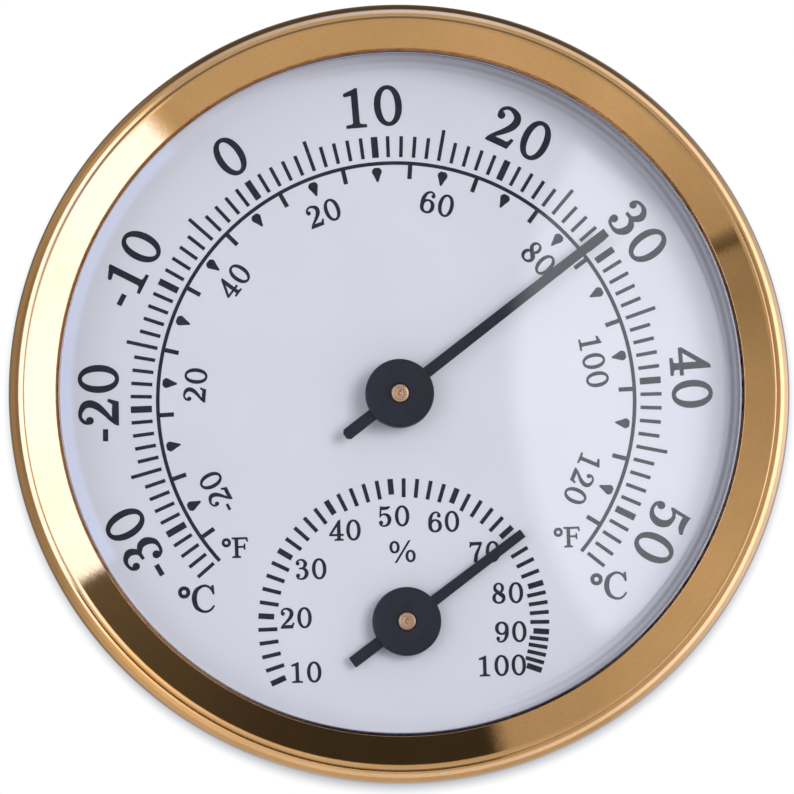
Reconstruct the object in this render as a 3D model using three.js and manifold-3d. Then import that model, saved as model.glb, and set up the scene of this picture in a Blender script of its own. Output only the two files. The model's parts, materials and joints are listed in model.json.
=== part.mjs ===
// Round dial gauge with two instruments on one dial: a bimetal thermometer in the middle and a
// coil hygrometer below it. Millimetres.
//
// Everything is modelled lying on its back: x points to 3 o'clock, y to 12 o'clock, and z out of the
// dial towards the reader, with z = 0 on the flat back face. The exported group stands the gauge up,
// so the dial faces -Y, 12 o'clock is +Z and the origin is the centre of the back face.

import * as THREE from "three";
import { mergeVertices } from "three/addons/utils/BufferGeometryUtils.js";
import Module from "manifold-3d";

const wasm = await Module();
wasm.setup();

// ---------------------------------------------------------------- driving dimensions

const BEZEL_RADIUS = 36; // over the rolled bead, the widest part
const WINDOW_RADIUS = 31.75; // opening of the bezel
const BODY_RADIUS = 33; // moulded case behind the bezel
const WALL = 1.6; // case wall
const DIAL_Z = 14.05; // printed face of the dial
const HUMIDITY_DROP = 21; // hygrometer axis below the thermometer axis
const FACETS = 48; // sides of every large ring, so that neighbours line up
const SMALL_FACETS = 16; // sides of shafts, bores and screws

const GAP = 0.05; // between pieces that touch or are pressed together
const RUNNING = 0.04; // radial running clearance of a shaft
const ARBOR_RADIUS = 0.82;

// ---------------------------------------------------------------- dial law

const DEG = Math.PI / 180;
const REST_TEMPERATURE = 29.1; // degrees Celsius
const REST_HUMIDITY = 72; // per cent

// Clockwise angle from 12 o'clock of a temperature. The steps widen a little towards the hot end.
function temperatureAngle(celsius) {
  const middle = 10;
  const halfSpan = 40;
  const u = (celsius - middle) / halfSpan;
  return (118.3 * u + 2.7 * u * u - 3) * DEG;
}

// Clockwise angle from 12 o'clock of a humidity: even steps up to 70 %, then closing up.
function humidityAngle(percent) {
  const decades = [27.5, 27.3, 27.3, 26.9, 27, 26.7, 25.2, 19.7, 15.5];
  const start = -112.6;
  const whole = Math.min(Math.floor(percent / 10) - 1, decades.length - 1);
  const passed = decades.slice(0, whole).reduce((sum, step) => sum + step, 0);
  return (start + passed + (decades[whole] * (percent - 10 * (whole + 1))) / 10) * DEG;
}

// ---------------------------------------------------------------- shapes

// A solid of revolution about z, from a closed outline of [radius, z] points.
function turned(outline, facets = FACETS) {
  const signedArea = outline.reduce((sum, [r, z], i) => {
    const [nextR, nextZ] = outline[(i + 1) % outline.length];
    return sum + r * nextZ - nextR * z;
  }, 0);
  const ordered = signedArea > 0 ? outline : [...outline].reverse();
  const points = [...ordered, ordered[0]].map(([r, z]) => new THREE.Vector2(r, z));
  return new THREE.LatheGeometry(points, facets).rotateX(Math.PI / 2);
}

// A flat ring, or a disc when the inner radius is 0.
function ring(inner, outer, z0, z1, facets = FACETS) {
  return turned([[inner, z0], [outer, z0], [outer, z1], [inner, z1]], facets);
}

// Points of a round corner, with angles in degrees measured from +radius towards +z.
function corner(r, z, radius, from, to, steps) {
  return Array.from({ length: steps + 1 }, (_, i) => {
    const angle = (from + ((to - from) * i) / steps) * DEG;
    return [r + radius * Math.cos(angle), z + radius * Math.sin(angle)];
  });
}

// A flat outline in x and y made solid between two heights.
function plate(shape, z0, z1, curveSegments = 8) {
  const settings = { depth: z1 - z0, bevelEnabled: false, curveSegments };
  return new THREE.ExtrudeGeometry(shape, settings).translate(0, 0, z0);
}

function polygon(points) {
  return new THREE.Shape(points.map(([x, y]) => new THREE.Vector2(x, y)));
}

// A slot with round ends between two points.
function slotShape(x0, y0, x1, y1, halfWidth) {
  const along = Math.atan2(y1 - y0, x1 - x0);
  const shape = new THREE.Shape();
  shape.absarc(x1, y1, halfWidth, along - Math.PI / 2, along + Math.PI / 2);
  shape.absarc(x0, y0, halfWidth, along + Math.PI / 2, along + (3 * Math.PI) / 2);
  return shape;
}

// A bore whose flats still clear a round shaft by the given amount.
function boreRadius(shaftRadius, clearance, facets = SMALL_FACETS) {
  return (shaftRadius + clearance) / Math.cos(Math.PI / facets);
}

// ---------------------------------------------------------------- cutting and joining

function toSolid(geometry) {
  const bare = geometry.clone();
  bare.deleteAttribute("normal");
  bare.deleteAttribute("uv");
  const merged = mergeVertices(bare, 1e-4);
  return new wasm.Manifold(
    new wasm.Mesh({
      numProp: 3,
      vertProperties: new Float32Array(merged.attributes.position.array),
      triVerts: new Uint32Array(merged.index.array),
    }),
  );
}

function toGeometry(solid) {
  const mesh = solid.getMesh();
  return new THREE.BufferGeometry()
    .setAttribute("position", new THREE.BufferAttribute(mesh.vertProperties, 3))
    .setIndex(new THREE.BufferAttribute(mesh.triVerts, 1));
}

// First geometry, plus the added ones, minus the cut ones.
function combine(base, added, cut) {
  const whole = added.reduce((solid, g) => solid.add(toSolid(g)), toSolid(base));
  return toGeometry(cut.reduce((solid, g) => solid.subtract(toSolid(g)), whole));
}

// ---------------------------------------------------------------- materials

function finish(color, roughness, metalness) {
  return new THREE.MeshStandardMaterial({ color, roughness, metalness });
}

const goldPlate = finish(0xc59a5c, 0.22, 1);
const clearPlastic = new THREE.MeshStandardMaterial({
  color: 0xf2f5fa, roughness: 0.03, metalness: 0, transparent: true, opacity: 0.2,
});
const whitePaint = finish(0xdcdde6, 0.45, 0);
const whitePlastic = finish(0xd2d3da, 0.4, 0);
const blackPlastic = finish(0x26272b, 0.5, 0);
const pointerBlack = finish(0x1c1d22, 0.42, 0);
const brass = finish(0xc79155, 0.3, 1);
const steel = finish(0xb4b6ba, 0.32, 1);
const bimetal = finish(0xb58f63, 0.35, 1);
const humidityStrip = finish(0xa7a9a2, 0.4, 0.8);
const sealRubber = finish(0x8f9096, 0.7, 0);

// ---------------------------------------------------------------- the gauge

const gauge = new THREE.Group();
gauge.rotation.x = Math.PI / 2;

const thermometer = new THREE.Group();
const hygrometer = new THREE.Group();
hygrometer.position.y = -HUMIDITY_DROP;
gauge.add(thermometer, hygrometer);

function place(parent, name, geometry, material) {
  const mesh = new THREE.Mesh(geometry, material);
  mesh.name = name;
  parent.add(mesh);
  return mesh;
}

// ---------------------------------------------------------------- moulded rear case

const CASE_FRONT = 17; // front edge of the case, inside the bezel
const SHOULDER_Z = 10.6; // step that the bezel is crimped behind
const SHOULDER_RADIUS = 34.3;
const DIAL_SEAT = 13.5; // ledge that carries the dial
const SEAT_RADIUS = 33.3;
const CAVITY_RADIUS = 31.2;
const PLATE_Z = 10; // back of the movement plate, on top of the four posts
const SCREW_RADIUS = 1;
const SCREW_TIP = 5;
const SCREW_PLACES = [[-20, 10], [20, 10], [-16, -22], [16, -22]];
const PIVOT_Z = 2.4; // rear end of the thermometer's arbor
const PIVOT_BOSS_TOP = 4.2;
const ADJUSTER_HEAD_RADIUS = 2.5;

function rearCase() {
  const foot = 1.6; // round edge at the back
  const cup = turned([
    [0, 0],
    ...corner(BODY_RADIUS - foot, foot, foot, -90, 0, 4),
    [BODY_RADIUS, SHOULDER_Z],
    [SHOULDER_RADIUS, SHOULDER_Z],
    [SHOULDER_RADIUS, CASE_FRONT],
    [SEAT_RADIUS, CASE_FRONT],
    [SEAT_RADIUS, DIAL_SEAT],
    [CAVITY_RADIUS, DIAL_SEAT],
    [CAVITY_RADIUS, WALL],
    [0, WALL],
  ]);
  const overlap = 0.4; // posts and boss start inside the wall that they grow from
  const posts = SCREW_PLACES.map(([x, y]) =>
    ring(0, 2.6, WALL - overlap, PLATE_Z - GAP, SMALL_FACETS).translate(x, y, 0),
  );
  const pivotBoss = ring(0, 2.8, WALL - overlap, PIVOT_BOSS_TOP, SMALL_FACETS);
  const pilotHoles = SCREW_PLACES.map(([x, y]) => {
    const bore = boreRadius(SCREW_RADIUS, GAP);
    return ring(0, bore, SCREW_TIP - 0.6, PLATE_Z + 1, SMALL_FACETS).translate(x, y, 0);
  });
  const pivotHole = ring(0, boreRadius(ARBOR_RADIUS, RUNNING), PIVOT_Z - 0.1, PIVOT_BOSS_TOP + 1, SMALL_FACETS);
  return combine(cup, [...posts, pivotBoss], [...pilotHoles, pivotHole, ...caseOpenings()]);
}

// Everything cut right through the back wall.
function caseOpenings() {
  const through = [-1, WALL + 1];
  const cuts = [];
  const louvreRows = 5;
  const louvrePitch = 4.2;
  for (let row = 0; row < louvreRows; row += 1) {
    const y = 5.2 - row * louvrePitch;
    for (const side of [-1, 1]) {
      cuts.push(plate(slotShape(side * 9.5, y, side * 23.5, y, 0.9), ...through, 6));
    }
  }
  const ventCount = 8;
  for (let i = 0; i < ventCount; i += 1) {
    const angle = (i + 0.5) * ((2 * Math.PI) / ventCount);
    const x = 6.6 * Math.cos(angle);
    const y = 6.6 * Math.sin(angle) - HUMIDITY_DROP;
    cuts.push(ring(0, 0.9, ...through, 12).translate(x, y, 0));
  }
  const adjusterBore = boreRadius(ADJUSTER_HEAD_RADIUS, RUNNING);
  cuts.push(ring(0, adjusterBore, ...through, SMALL_FACETS).translate(0, -HUMIDITY_DROP, 0));
  const keyholeY = 19; // a wall screw's head enters here and its shank slides up the slot
  cuts.push(ring(0, 3.6, ...through, SMALL_FACETS).translate(0, keyholeY, 0));
  cuts.push(plate(slotShape(0, keyholeY, 0, keyholeY + 6, 1.8), ...through, 6));
  return cuts;
}

place(gauge, "rear_case", rearCase(), blackPlastic);

// ---------------------------------------------------------------- bezel, lens and their rings

const LIP_Z = 19; // underside of the bezel's lip, on the lens flange
const FACE_CREST = 20.2;
const BEAD_Z = 17.05;
const BEAD_ROUND = 0.95;
const SKIRT_OUTER = 35;
const SKIRT_INNER = 34.4;
const CRIMP_INNER = 33.4; // the crimped edge reaches in behind the case's shoulder
const CRIMP_BACK = 9.8;

function bezel() {
  const crest = 0.3;
  const shoulder = 0.85;
  return turned([
    [WINDOW_RADIUS, LIP_Z],
    ...corner(WINDOW_RADIUS + crest, FACE_CREST - crest, crest, 180, 80, 2),
    ...corner(SKIRT_OUTER - shoulder, 19.55 - shoulder, shoulder, 76, 0, 3),
    ...corner(BEZEL_RADIUS - BEAD_ROUND, BEAD_Z, BEAD_ROUND, 90, -90, 6),
    [SKIRT_OUTER, BEAD_Z - BEAD_ROUND],
    ...corner(SKIRT_OUTER - 0.5, CRIMP_BACK + 0.5, 0.5, 0, -90, 2),
    [CRIMP_INNER, CRIMP_BACK],
    [CRIMP_INNER, CRIMP_BACK + 0.6],
    [SKIRT_INNER, CRIMP_BACK + 0.6],
    [SKIRT_INNER, 17.9],
    [33.7, 18.2],
    [33.7, LIP_Z],
  ]);
}

// A watch-crystal lens: a shallow dome with a rounded border and a flat flange under the bezel.
const LENS_APEX = 21.2;
const LENS_THICKNESS = 1.2;
const LENS_FLANGE_TOP = LIP_Z - GAP;
const LENS_FLANGE_BACK = 18.1;
const LENS_RADIUS = 33.2;

function lens() {
  const domeEdge = 30.4;
  const sag = 0.9; // how far the dome falls from its apex to its edge
  const dome = (offset, steps) =>
    Array.from({ length: steps + 1 }, (_, i) => {
      const r = (domeEdge - offset) * (i / steps);
      return [r, LENS_APEX - offset - sag * (i / steps) ** 2];
    });
  const steps = 4;
  const border = 31.5;
  return turned([
    ...dome(0, steps),
    [31.2, 19.9],
    [border, 19.2],
    [border, LENS_FLANGE_TOP],
    [LENS_RADIUS, LENS_FLANGE_TOP],
    [LENS_RADIUS, LENS_FLANGE_BACK],
    [border - 1, LENS_FLANGE_BACK],
    ...dome(LENS_THICKNESS, steps).reverse(),
  ]);
}

const GASKET_BACK = 17.4;

place(gauge, "bezel", bezel(), goldPlate);
place(gauge, "lens", lens(), clearPlastic);
place(gauge, "lens_gasket", ring(32.1, 33.1, GASKET_BACK, LENS_FLANGE_BACK - GAP), sealRubber);
place(gauge, "spacer_ring", ring(31.9, 33.1, DIAL_Z + GAP, GASKET_BACK - GAP), whitePlastic);

// ---------------------------------------------------------------- dial and movement plate

function roundHole(x, y, radius) {
  return new THREE.Path().absarc(x, y, radius, 0, 2 * Math.PI, true);
}

function dialPlate() {
  const disc = new THREE.Shape().absarc(0, 0, 33.1, 0, 2 * Math.PI);
  disc.holes.push(roundHole(0, 0, 1.4), roundHole(0, -HUMIDITY_DROP, 1.4));
  return plate(disc, DIAL_SEAT + GAP, DIAL_Z, FACETS / 2);
}

const PLATE_THICKNESS = 0.8;
const BUSH_BODY = 1.8;
const TEMPERATURE_POST = polar(8.4, 200);
const HUMIDITY_POST = polar(8.2, 150);
const POST_RADIUS = 0.6;

function polar(radius, degrees) {
  return [radius * Math.cos(degrees * DEG), radius * Math.sin(degrees * DEG)];
}

// A stamped plate whose outline wraps the four screw places in round corners.
function movementPlate() {
  const outline = new THREE.Shape();
  const ear = 3.6;
  const [topLeft, topRight, bottomLeft, bottomRight] = SCREW_PLACES;
  const slope = Math.atan2(topRight[1] - bottomRight[1], topRight[0] - bottomRight[0]);
  const sideNormal = slope - Math.PI / 2;
  outline.absarc(...topRight, ear, sideNormal, Math.PI / 2);
  outline.absarc(...topLeft, ear, Math.PI / 2, Math.PI - sideNormal);
  outline.absarc(...bottomLeft, ear, Math.PI - sideNormal, 1.5 * Math.PI);
  outline.absarc(...bottomRight, ear, 1.5 * Math.PI, 2 * Math.PI + sideNormal);
  for (const [x, y] of SCREW_PLACES) outline.holes.push(roundHole(x, y, SCREW_RADIUS + 0.2));
  for (const y of [0, -HUMIDITY_DROP]) outline.holes.push(roundHole(0, y, BUSH_BODY + 0.1));
  outline.holes.push(roundHole(...TEMPERATURE_POST, POST_RADIUS + 0.1));
  for (const side of [-1, 1]) {
    const window = slotShape(side * 13, 4, side * 10.5, -13, 2.2);
    outline.holes.push(new THREE.Path(window.getPoints(5).reverse()));
  }
  return plate(outline, PLATE_Z, PLATE_Z + PLATE_THICKNESS, 5);
}

function plateScrew() {
  const headBack = PLATE_Z + PLATE_THICKNESS + GAP;
  const headTop = headBack + 1.2;
  const body = turned([
    [0, SCREW_TIP],
    [SCREW_RADIUS * 0.5, SCREW_TIP],
    [SCREW_RADIUS, SCREW_TIP + 0.8],
    [SCREW_RADIUS, headBack],
    [1.9, headBack],
    [1.9, headTop - 0.4],
    [1.5, headTop],
    [0, headTop],
  ], 16);
  const slot = new THREE.BoxGeometry(5, 0.5, 1.2).translate(0, 0, headTop);
  return combine(body, [], [slot]);
}

place(gauge, "dial_plate", dialPlate(), whitePaint);
place(gauge, "movement_plate", movementPlate(), steel);
SCREW_PLACES.forEach(([x, y], i) => {
  const screw = place(gauge, `plate_screw_${i + 1}`, plateScrew(), steel);
  screw.position.set(x, y, 0);
});

// ---------------------------------------------------------------- pieces of both movements

// Front bearing, pressed into the movement plate from behind.
function bush() {
  const bore = boreRadius(ARBOR_RADIUS, RUNNING);
  const flangeFront = PLATE_Z - GAP;
  return turned([
    [bore, 9.2],
    [2.7, 9.2],
    [2.7, flangeFront],
    [BUSH_BODY, flangeFront],
    [BUSH_BODY, 12.6],
    [bore, 12.6],
  ], SMALL_FACETS);
}

// The staff that carries collet and pointer. Its front end is burred over and shows in the hub.
function arbor(back, front) {
  const r = ARBOR_RADIUS;
  return turned([
    [0, back],
    [r * 0.6, back],
    [r, back + 0.3],
    [r, front - 0.15],
    [r * 0.8, front],
    [0, front],
  ], SMALL_FACETS);
}

function collet(back, front) {
  return ring(boreRadius(ARBOR_RADIUS, GAP), 2, back, front, SMALL_FACETS);
}

// A strip wound in a flat spiral from its inner to its outer end.
function coil({ inner, outer, turns, startDegrees, thickness, z0, z1 }) {
  const perTurn = 18;
  const count = Math.round(turns * perTurn);
  const edge = (side) =>
    Array.from({ length: count + 1 }, (_, i) => {
      const radius = inner + ((outer - inner) * i) / count + (side * thickness) / 2;
      return polar(radius, startDegrees + (360 * turns * i) / count);
    });
  return plate(polygon([...edge(1), ...edge(-1).reverse()]), z0, z1);
}

// The hub disc, the arm pointing to 12 o'clock and the short tail that balances it, in one piece.
function pointer({ length, tail, tailChamfer, back, front }) {
  const hubRadius = 3.17;
  const rootHalf = 0.54;
  const tipHalf = 0.43;
  const tailHalf = 0.56;
  const armBack = back + 0.2;
  const armFront = front - 0.7;
  const arm = polygon([
    [rootHalf, 0],
    [tipHalf, length],
    [-tipHalf, length],
    [-rootHalf, 0],
    [-tailHalf, 0],
    [-tailHalf, tailChamfer - tail],
    [tailChamfer - tailHalf, -tail],
    [tailHalf - tailChamfer, -tail],
    [tailHalf, tailChamfer - tail],
    [tailHalf, 0],
  ]);
  const hub = turned([
    [0, back],
    [hubRadius, back],
    [hubRadius, front - 0.15],
    [hubRadius - 0.15, front],
    [0, front],
  ], 40);
  const bore = ring(0, boreRadius(ARBOR_RADIUS, GAP), back - 1, front + 1, SMALL_FACETS);
  return combine(hub, [plate(arm, armBack, armFront)], [bore]);
}

function anchorPost(z0, z1) {
  return ring(0, POST_RADIUS, z0, z1, 12);
}

// ---------------------------------------------------------------- thermometer

const temperatureStaff = new THREE.Group();
temperatureStaff.rotation.z = -temperatureAngle(REST_TEMPERATURE);
thermometer.add(temperatureStaff);

place(thermometer, "temperature_bush", bush(), brass);
place(thermometer, "temperature_coil", coil({
  inner: 2.5, outer: 7.5, turns: 4.5, startDegrees: 20, thickness: 0.45, z0: 5, z1: 8.8,
}), bimetal);
place(thermometer, "temperature_coil_post", anchorPost(4.6, 11.4), steel).position.set(...TEMPERATURE_POST, 0);
place(temperatureStaff, "temperature_arbor", arbor(PIVOT_Z, 17.65), brass);
place(temperatureStaff, "temperature_collet", collet(PIVOT_BOSS_TOP + 0.3, 8.4), brass);
place(temperatureStaff, "temperature_pointer", pointer({
  length: 24.3, tail: 6.4, tailChamfer: 0.28, back: 15.9, front: 17.5,
}), pointerBlack);

// ---------------------------------------------------------------- hygrometer

const ADJUSTER_ARM_TOP = 3.4;
const ADJUSTER_WASHER_TOP = WALL + 0.3;

// The calibration adjuster: a slotted head in the back wall, a flange inside it, an arm that carries
// the coil's outer end, and a blind bore in front that the arbor's pivot turns in.
function adjuster() {
  const headBack = 0.3;
  const flangeBack = ADJUSTER_WASHER_TOP + GAP;
  const body = turned([
    [0, headBack],
    [ADJUSTER_HEAD_RADIUS, headBack],
    [ADJUSTER_HEAD_RADIUS, flangeBack],
    [3.6, flangeBack],
    [3.6, ADJUSTER_ARM_TOP],
    [2, ADJUSTER_ARM_TOP],
    [2, 4.4],
    [0, 4.4],
  ], SMALL_FACETS);
  const arm = plate(slotShape(0, 0, ...HUMIDITY_POST, 1.3), 2.5, ADJUSTER_ARM_TOP, 5);
  const slot = new THREE.BoxGeometry(7, 0.7, 1.4).translate(0, 0, headBack);
  const pivotBore = ring(0, boreRadius(ARBOR_RADIUS, RUNNING), 2.5, 6, SMALL_FACETS);
  const postBore = ring(0, boreRadius(POST_RADIUS, GAP, 12), 2, 4, 12).translate(...HUMIDITY_POST, 0);
  return combine(body, [arm], [slot, pivotBore, postBore]);
}

const humidityStaff = new THREE.Group();
humidityStaff.rotation.z = -humidityAngle(REST_HUMIDITY);
hygrometer.add(humidityStaff);

place(hygrometer, "humidity_bush", bush(), brass);
place(hygrometer, "calibration_adjuster", adjuster(), brass);
place(hygrometer, "adjuster_washer", ring(2.75, 3.5, WALL + GAP, ADJUSTER_WASHER_TOP, SMALL_FACETS), steel);
place(hygrometer, "humidity_coil", coil({
  inner: 2.5, outer: 7.3, turns: 5.42, startDegrees: 0, thickness: 0.3, z0: 5, z1: 8.8,
}), humidityStrip);
place(hygrometer, "humidity_coil_post", anchorPost(2.55, 8.9), steel).position.set(...HUMIDITY_POST, 0);
place(humidityStaff, "humidity_arbor", arbor(2.7, 16.45), brass);
place(humidityStaff, "humidity_collet", collet(4.7, 8.4), brass);
place(humidityStaff, "humidity_pointer", pointer({
  length: 13.5, tail: 6.3, tailChamfer: 0.04, back: 14.75, front: 16.3,
}), pointerBlack);

export default gauge;
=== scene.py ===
"""The looks of a round dial gauge: a thermometer and a hygrometer on one dial.

Shapes are written lying on their back, in millimetres: x to 3 o'clock, y to 12 o'clock and z out of
the dial. build() stands them up into the frame of the CAD model, where the dial faces -Y.
"""

import json
import math

import bmesh
import bpy
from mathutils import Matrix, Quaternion, Vector
from mathutils.geometry import convex_hull_2d, delaunay_2d_cdt


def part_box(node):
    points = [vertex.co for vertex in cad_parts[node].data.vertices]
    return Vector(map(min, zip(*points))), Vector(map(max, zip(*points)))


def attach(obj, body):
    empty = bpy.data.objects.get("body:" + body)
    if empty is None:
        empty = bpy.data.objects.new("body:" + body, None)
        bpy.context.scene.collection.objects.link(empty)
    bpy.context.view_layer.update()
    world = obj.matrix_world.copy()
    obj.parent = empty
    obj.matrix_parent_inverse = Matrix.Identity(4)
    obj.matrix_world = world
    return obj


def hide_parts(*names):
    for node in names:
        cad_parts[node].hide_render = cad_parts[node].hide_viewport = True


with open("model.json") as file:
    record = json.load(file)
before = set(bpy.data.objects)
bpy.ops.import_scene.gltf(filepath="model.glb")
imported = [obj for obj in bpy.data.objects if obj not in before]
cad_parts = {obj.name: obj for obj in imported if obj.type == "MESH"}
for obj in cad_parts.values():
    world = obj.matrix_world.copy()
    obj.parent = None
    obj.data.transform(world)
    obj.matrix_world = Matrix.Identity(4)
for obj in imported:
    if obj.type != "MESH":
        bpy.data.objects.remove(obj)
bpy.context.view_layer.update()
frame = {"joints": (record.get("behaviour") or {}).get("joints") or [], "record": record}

# ---- driving dimensions ----

MM = 0.001
MERGE = 2e-7  # metres; points closer than this are one point
CREASE = math.radians(38)  # edges where faces meet at more than this angle are shaded as sharp


def heights(node):
    """How far a node's back and front are in front of the gauge's flat back face."""
    low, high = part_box(node)
    return -high.y / MM, -low.y / MM


def radius_of(node):
    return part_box(node)[1].x / MM


def joint_axis(name):
    """Where a hinge's axis crosses the dial."""
    joint = next(j for j in frame["joints"] if j["name"] == name)
    return joint["pos_m"][0] / MM, joint["pos_m"][2] / MM


def centre_of(node):
    """Where the middle of a node lies on the dial."""
    low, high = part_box(node)
    return (low.x + high.x) / 2 / MM, (low.z + high.z) / 2 / MM


def rest_angle(node, axis):
    """Clockwise angle from 12 o'clock of a pointer at rest, from the corners of its box."""
    low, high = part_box(node)
    reach_x = max(high.x / MM - axis[0], low.x / MM - axis[0], key=abs)
    reach_y = max(high.z / MM - axis[1], low.z / MM - axis[1], key=abs)
    return math.atan2(reach_x - POINTER_TIP_HALF * 0.8, reach_y - POINTER_TIP_HALF * 0.6)


POINTER_TIP_HALF = 0.43
WINDOW = 31.4  # inner radius of the bezel's lip
GROOVE = 34.7  # radius of the line between the bezel's face and its rolled bead
WAIST = 17.2  # height where the rolled bead is widest
LENS_EDGE = 30.4  # the dome drops by its sag at this radius
LENS_SAG = 0.9
LENS_MIRROR = 0.045  # share of the light that the lens mirrors straight on
BEZEL_RADIUS = radius_of("bezel")
DIAL_BACK, DIAL_Z = heights("dial_plate")
TEMPERATURE_AXIS = joint_axis("temperature_turn")
HUMIDITY_AXIS = joint_axis("humidity_turn")
BODY_OF = {node: body for body, nodes in frame["record"]["behaviour"]["bodies"].items() for node in nodes}

# ---- outlines ----


def rotated(point, angle):
    """The point turned counter-clockwise about the origin."""
    c, s = math.cos(angle), math.sin(angle)
    return point[0] * c - point[1] * s, point[0] * s + point[1] * c


def moved(points, dx, dy):
    return [(x + dx, y + dy) for x, y in points]


def about(axis, point, angle):
    """The point turned counter-clockwise about the origin, which is then moved to the axis."""
    return moved([rotated(point, angle)], *axis)[0]


def level(contour, z):
    """The contour at a height."""
    return [(x, y, z) for x, y in contour]


def arc(cx, cy, radius, start, end, count):
    """Points on an arc between two angles in degrees."""
    angles = [math.radians(start + (end - start) * i / count) for i in range(count + 1)]
    return [(cx + radius * math.cos(a), cy + radius * math.sin(a)) for a in angles]


def circle(cx, cy, radius, count=48):
    return arc(cx, cy, radius, 0, 360, count)[:-1]


def slot_outline(x0, y0, x1, y1, half, count=12):
    """A slot with round ends between two points."""
    along = math.degrees(math.atan2(y1 - y0, x1 - x0))
    far_end = arc(x1, y1, half, along - 90, along + 90, count)
    return far_end + arc(x0, y0, half, along + 90, along + 270, count)


def keyhole_outline(x, y, length, angle, head, half):
    """A round hole with a slot that runs from it, at an angle in degrees from 12 o'clock."""
    meet = math.degrees(math.asin(half / head))
    contour = arc(0, 0, head, 90 + meet, 450 - meet, 40) + arc(0, length, half, 0, 180, 16)
    return [about((x, y), p, math.radians(angle)) for p in contour]


def round_cornered(x0, y0, x1, y1, radius):
    """A rectangle with round corners."""
    corners = [(x1 - radius, y0 + radius, -90), (x1 - radius, y1 - radius, 0),
               (x0 + radius, y1 - radius, 90), (x0 + radius, y0 + radius, 180)]
    return [p for x, y, start in corners for p in arc(x, y, radius, start, start + 90, 8)]


def turning(points, counter_clockwise=True):
    """The same contour, running the way asked for."""
    pairs = zip(points, points[1:] + points[:1])
    area = sum(a[0] * b[1] - b[0] * a[1] for a, b in pairs) / 2
    return points if (area > 0) == counter_clockwise else points[::-1]


def offset(points, distance):
    """The contour moved to its left by a distance, with mitred corners."""
    result = []
    count = len(points)
    for i, (x, y) in enumerate(points):
        normals = []
        for (ax, ay), (bx, by) in ((points[i - 1], points[i]), (points[i], points[(i + 1) % count])):
            length = math.hypot(bx - ax, by - ay)
            normals.append(((ay - by) / length, (bx - ax) / length))
        (nx, ny), (mx, my) = normals
        share = distance / (1 + nx * mx + ny * my)
        result.append((x + (nx + mx) * share, y + (ny + my) * share))
    return result


def rounded(outline, radius, steps=3):
    """A closed outline with its sharp corners rounded. A corner may carry its own radius as a third
    number. Corners on the axis and gentle corners stay as they are."""
    result = []
    count = len(outline)
    for i, corner in enumerate(outline):
        here = Vector(corner[:2])
        own = corner[2] if len(corner) > 2 else radius
        to_last = Vector(outline[i - 1][:2]) - here
        to_next = Vector(outline[(i + 1) % count][:2]) - here
        turn = math.pi - to_last.angle(to_next)
        if here.x < 1e-6 or own == 0 or turn < math.radians(25):
            result.append(tuple(here))
            continue
        back = min(own * math.tan(turn / 2), to_last.length * 0.45, to_next.length * 0.45)
        start = here + to_last.normalized() * back
        end = here + to_next.normalized() * back
        for k in range(steps + 1):
            t = k / steps
            result.append(tuple(start * (1 - t) ** 2 + here * 2 * t * (1 - t) + end * t * t))
    return result


# ---- closed surfaces ----


def triangulate(shapes):
    """Corners and triangles that cover every shape once. A shape is (contour, list of holes)."""
    points, faces, roles = [], [], []
    for index, (outer, holes) in enumerate(shapes):
        for contour, is_hole in [(outer, False)] + [(hole, True) for hole in holes]:
            faces.append(list(range(len(points), len(points) + len(contour))))
            points += [Vector(p) for p in turning(list(contour))]
            roles.append((index, is_hole))
    corners, _, triangles, _, _, sources = delaunay_2d_cdt(points, [], faces, 1, 1e-5)
    kept = []
    for triangle, ids in zip(triangles, sources):
        inside = {roles[i][0] for i in ids if not roles[i][1]}
        cut = {roles[i][0] for i in ids if roles[i][1]}
        if inside - cut:
            kept.append(triangle)
    return [tuple(c) for c in corners], kept


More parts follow.
